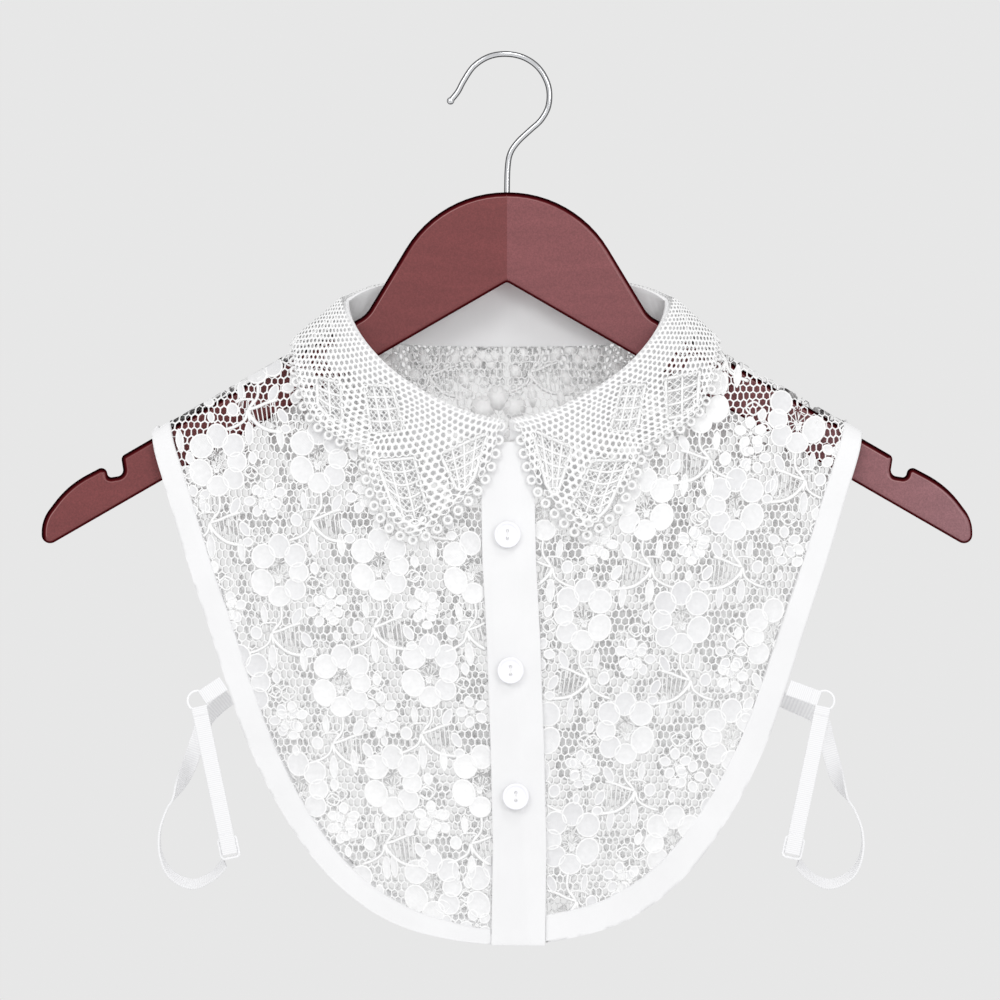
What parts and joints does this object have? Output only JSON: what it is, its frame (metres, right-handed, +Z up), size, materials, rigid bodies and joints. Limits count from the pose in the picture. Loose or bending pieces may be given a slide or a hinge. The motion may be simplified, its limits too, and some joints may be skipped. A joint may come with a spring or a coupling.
{
  "type": "lace collar on a wooden hanger",
  "caption": "Detachable lace half-shirt collar with a turned-down guipure collar, button front and adjustable side straps, hanging on a wooden hanger.",
  "frame": {"origin": "inside top of the hanger's hook, where a rail carries the whole", "axes": "+X to the right of a front view along the hanger's arms, +Y from the collar's front to its back, +Z up"},
  "size_m": [0.4432, 0.0736, 0.4273],
  "materials": {
    "floral_lace": "openwork net with flat floral motifs, matt white",
    "guipure_lace": "heavy corded lace, matt white",
    "white_cotton": "plain weave cotton, soft matt",
    "white_elastic": "ribbed elastic tape, slight sheen",
    "white_resin": "moulded, half gloss",
    "white_coated_metal": "smooth coated wire",
    "lacquered_mahogany": "stained red-brown, satin lacquer",
    "chromed_wire": "bright plated"
  },
  "bodies": {
    "root": {"front_left": "floral_lace", "front_right": "floral_lace", "back": "floral_lace", "band_front_left": "white_cotton", "band_front_right": "white_cotton", "band_back": "white_cotton", "placket": "white_cotton", "placket_under": "white_cotton", "collar_stand": "white_cotton", "collar_fall": "guipure_lace", "button_top": "white_resin", "button_middle": "white_resin", "button_bottom": "white_resin", "tab_left": "white_elastic", "tab_right": "white_elastic", "ring_left": "white_coated_metal", "ring_right": "white_coated_metal", "slider_left": "white_coated_metal", "slider_right": "white_coated_metal", "strap_front_left": "white_elastic", "strap_front_right": "white_elastic", "strap_loop_left": "white_elastic", "strap_loop_right": "white_elastic", "hanger_left": "lacquered_mahogany", "hanger_right": "lacquered_mahogany", "hanger_hook": "chromed_wire"}
  },
  "joints": []
}
